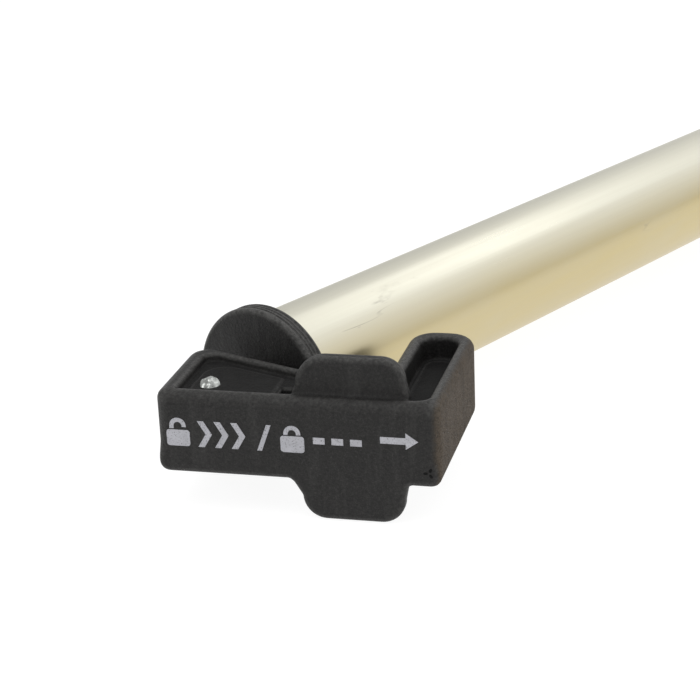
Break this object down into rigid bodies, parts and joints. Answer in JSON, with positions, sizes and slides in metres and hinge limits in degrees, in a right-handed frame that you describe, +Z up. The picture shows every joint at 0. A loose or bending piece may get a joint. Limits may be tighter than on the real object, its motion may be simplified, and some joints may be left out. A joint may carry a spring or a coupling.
{
  "type": "bed cargo bar",
  "caption": "Spring-loaded telescoping steel bar for a truck bed, with a swivelling moulded locking jaw on a flanged plug at each end.",
  "frame": {"origin": "the middle of the bar, on the tubes' axis, with the bar fully extended and the jaws as pictured", "axes": "+X along the bar from the outer tube's end to the inner tube's end, +Z up along the jaws' pivot rivets"},
  "size_m": [1.4838, 0.1462, 0.0488],
  "materials": {
    "black_nylon": "satin moulded glass-filled nylon with a fine grain",
    "yellow_zinc_steel": "yellow-passivated zinc plating, satin with faint scratches",
    "bright_zinc": "bright zinc plating"
  },
  "bodies": {
    "outer_bar": {"outer_tube": "yellow_zinc_steel", "tube_collar": "black_nylon", "collar_screw": "bright_zinc", "stop_pin": "bright_zinc", "main_spring": "bright_zinc", "spring_stop": "black_nylon", "spring_stop_rivet": "bright_zinc", "near_end_plug": "black_nylon", "near_wave_washer": "bright_zinc", "near_plug_rivet_lower": "bright_zinc", "near_plug_rivet_side": "bright_zinc"},
    "inner_bar": {"inner_tube": "yellow_zinc_steel", "guide_plug": "black_nylon", "guide_plug_pin": "bright_zinc", "far_end_plug": "black_nylon", "far_wave_washer": "bright_zinc", "far_plug_rivet_lower": "bright_zinc", "far_plug_rivet_side": "bright_zinc"},
    "near_jaw": {"near_jaw": "black_nylon", "near_jaw_rivet": "bright_zinc", "near_rivet_washer": "bright_zinc"},
    "far_jaw": {"far_jaw": "black_nylon", "far_jaw_rivet": "bright_zinc", "far_rivet_washer": "bright_zinc"}
  },
  "joints": [
    {"name": "near_jaw_swing", "type": "hinge", "parent": "outer_bar", "child": "near_jaw", "pos_m": [-0.7264, -0.0055, 0], "axis": [0, 0, 1], "range_deg": [-25.4, 10]},
    {"name": "far_jaw_swing", "type": "hinge", "parent": "inner_bar", "child": "far_jaw", "pos_m": [0.7264, 0.0055, 0], "axis": [0, 0, 1], "range_deg": [-25.4, 10]},
    {"name": "tube_slide", "type": "slide", "parent": "outer_bar", "child": "inner_bar", "axis": [1, 0, 0], "range_m": [-0.1, 0], "stiffness_N_per_m": 400, "springref_m": 0.1, "deforming": ["main_spring"]}
  ]
}
